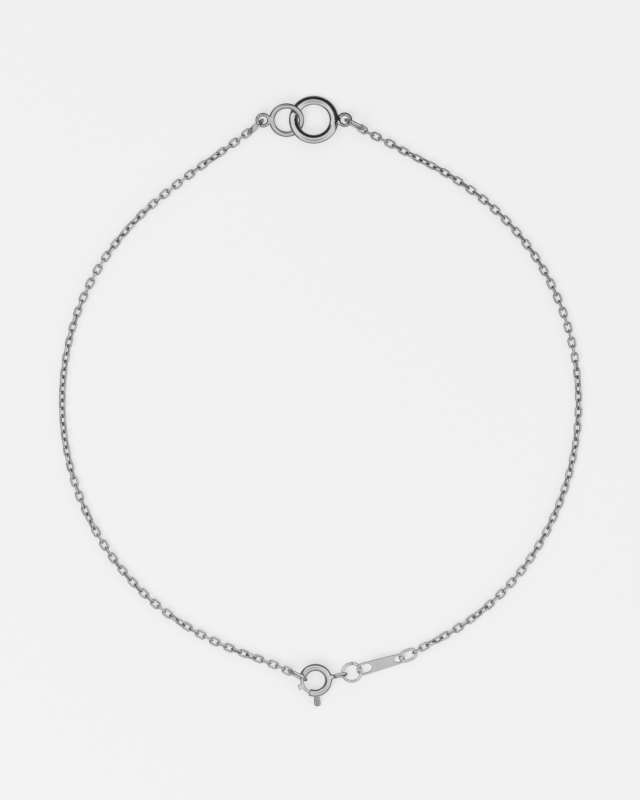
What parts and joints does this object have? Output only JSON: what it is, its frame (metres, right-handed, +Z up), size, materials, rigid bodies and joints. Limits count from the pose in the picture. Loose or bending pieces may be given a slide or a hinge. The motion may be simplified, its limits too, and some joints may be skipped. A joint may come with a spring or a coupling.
{
  "type": "link bracelet",
  "caption": "Fine silver cable-chain bracelet with two plain rings linked through one another, a small bare tag and a spring-ring clasp.",
  "frame": {"origin": "middle of the loop, on the surface that the bracelet lies on", "axes": "+Z up from the surface; +Y towards the two linked rings; the clasp is at -Y"},
  "size_m": [0.0629, 0.0733, 0.0027],
  "materials": {
    "ring_silver": "polished sterling silver",
    "wire_silver": "polished sterling silver wire",
    "chain_silver": "polished sterling silver links",
    "clasp_silver": "polished silver, slightly duller",
    "tag_silver": "satin sterling silver, bare"
  },
  "bodies": {
    "bracelet": {"large_ring": "ring_silver", "small_ring": "ring_silver", "large_ring_jump_ring": "wire_silver", "small_ring_jump_ring": "wire_silver", "right_chain": "chain_silver", "left_chain": "chain_silver", "clasp_jump_ring": "wire_silver", "clasp_body": "clasp_silver", "tag_jump_ring": "wire_silver", "tag": "tag_silver", "tag_link": "wire_silver"},
    "bolt": {"clasp_bolt": "clasp_silver"}
  },
  "joints": [
    {"name": "bolt_slide", "type": "hinge", "parent": "bracelet", "child": "bolt", "pos_m": [-0.00056, -0.03359, 0.00087], "axis": [0.0837, -0.1833, 0.9795], "range_deg": [0, 72], "stiffness_Nm_per_rad": 0.000002, "springref_deg": -5.73}
  ]
}
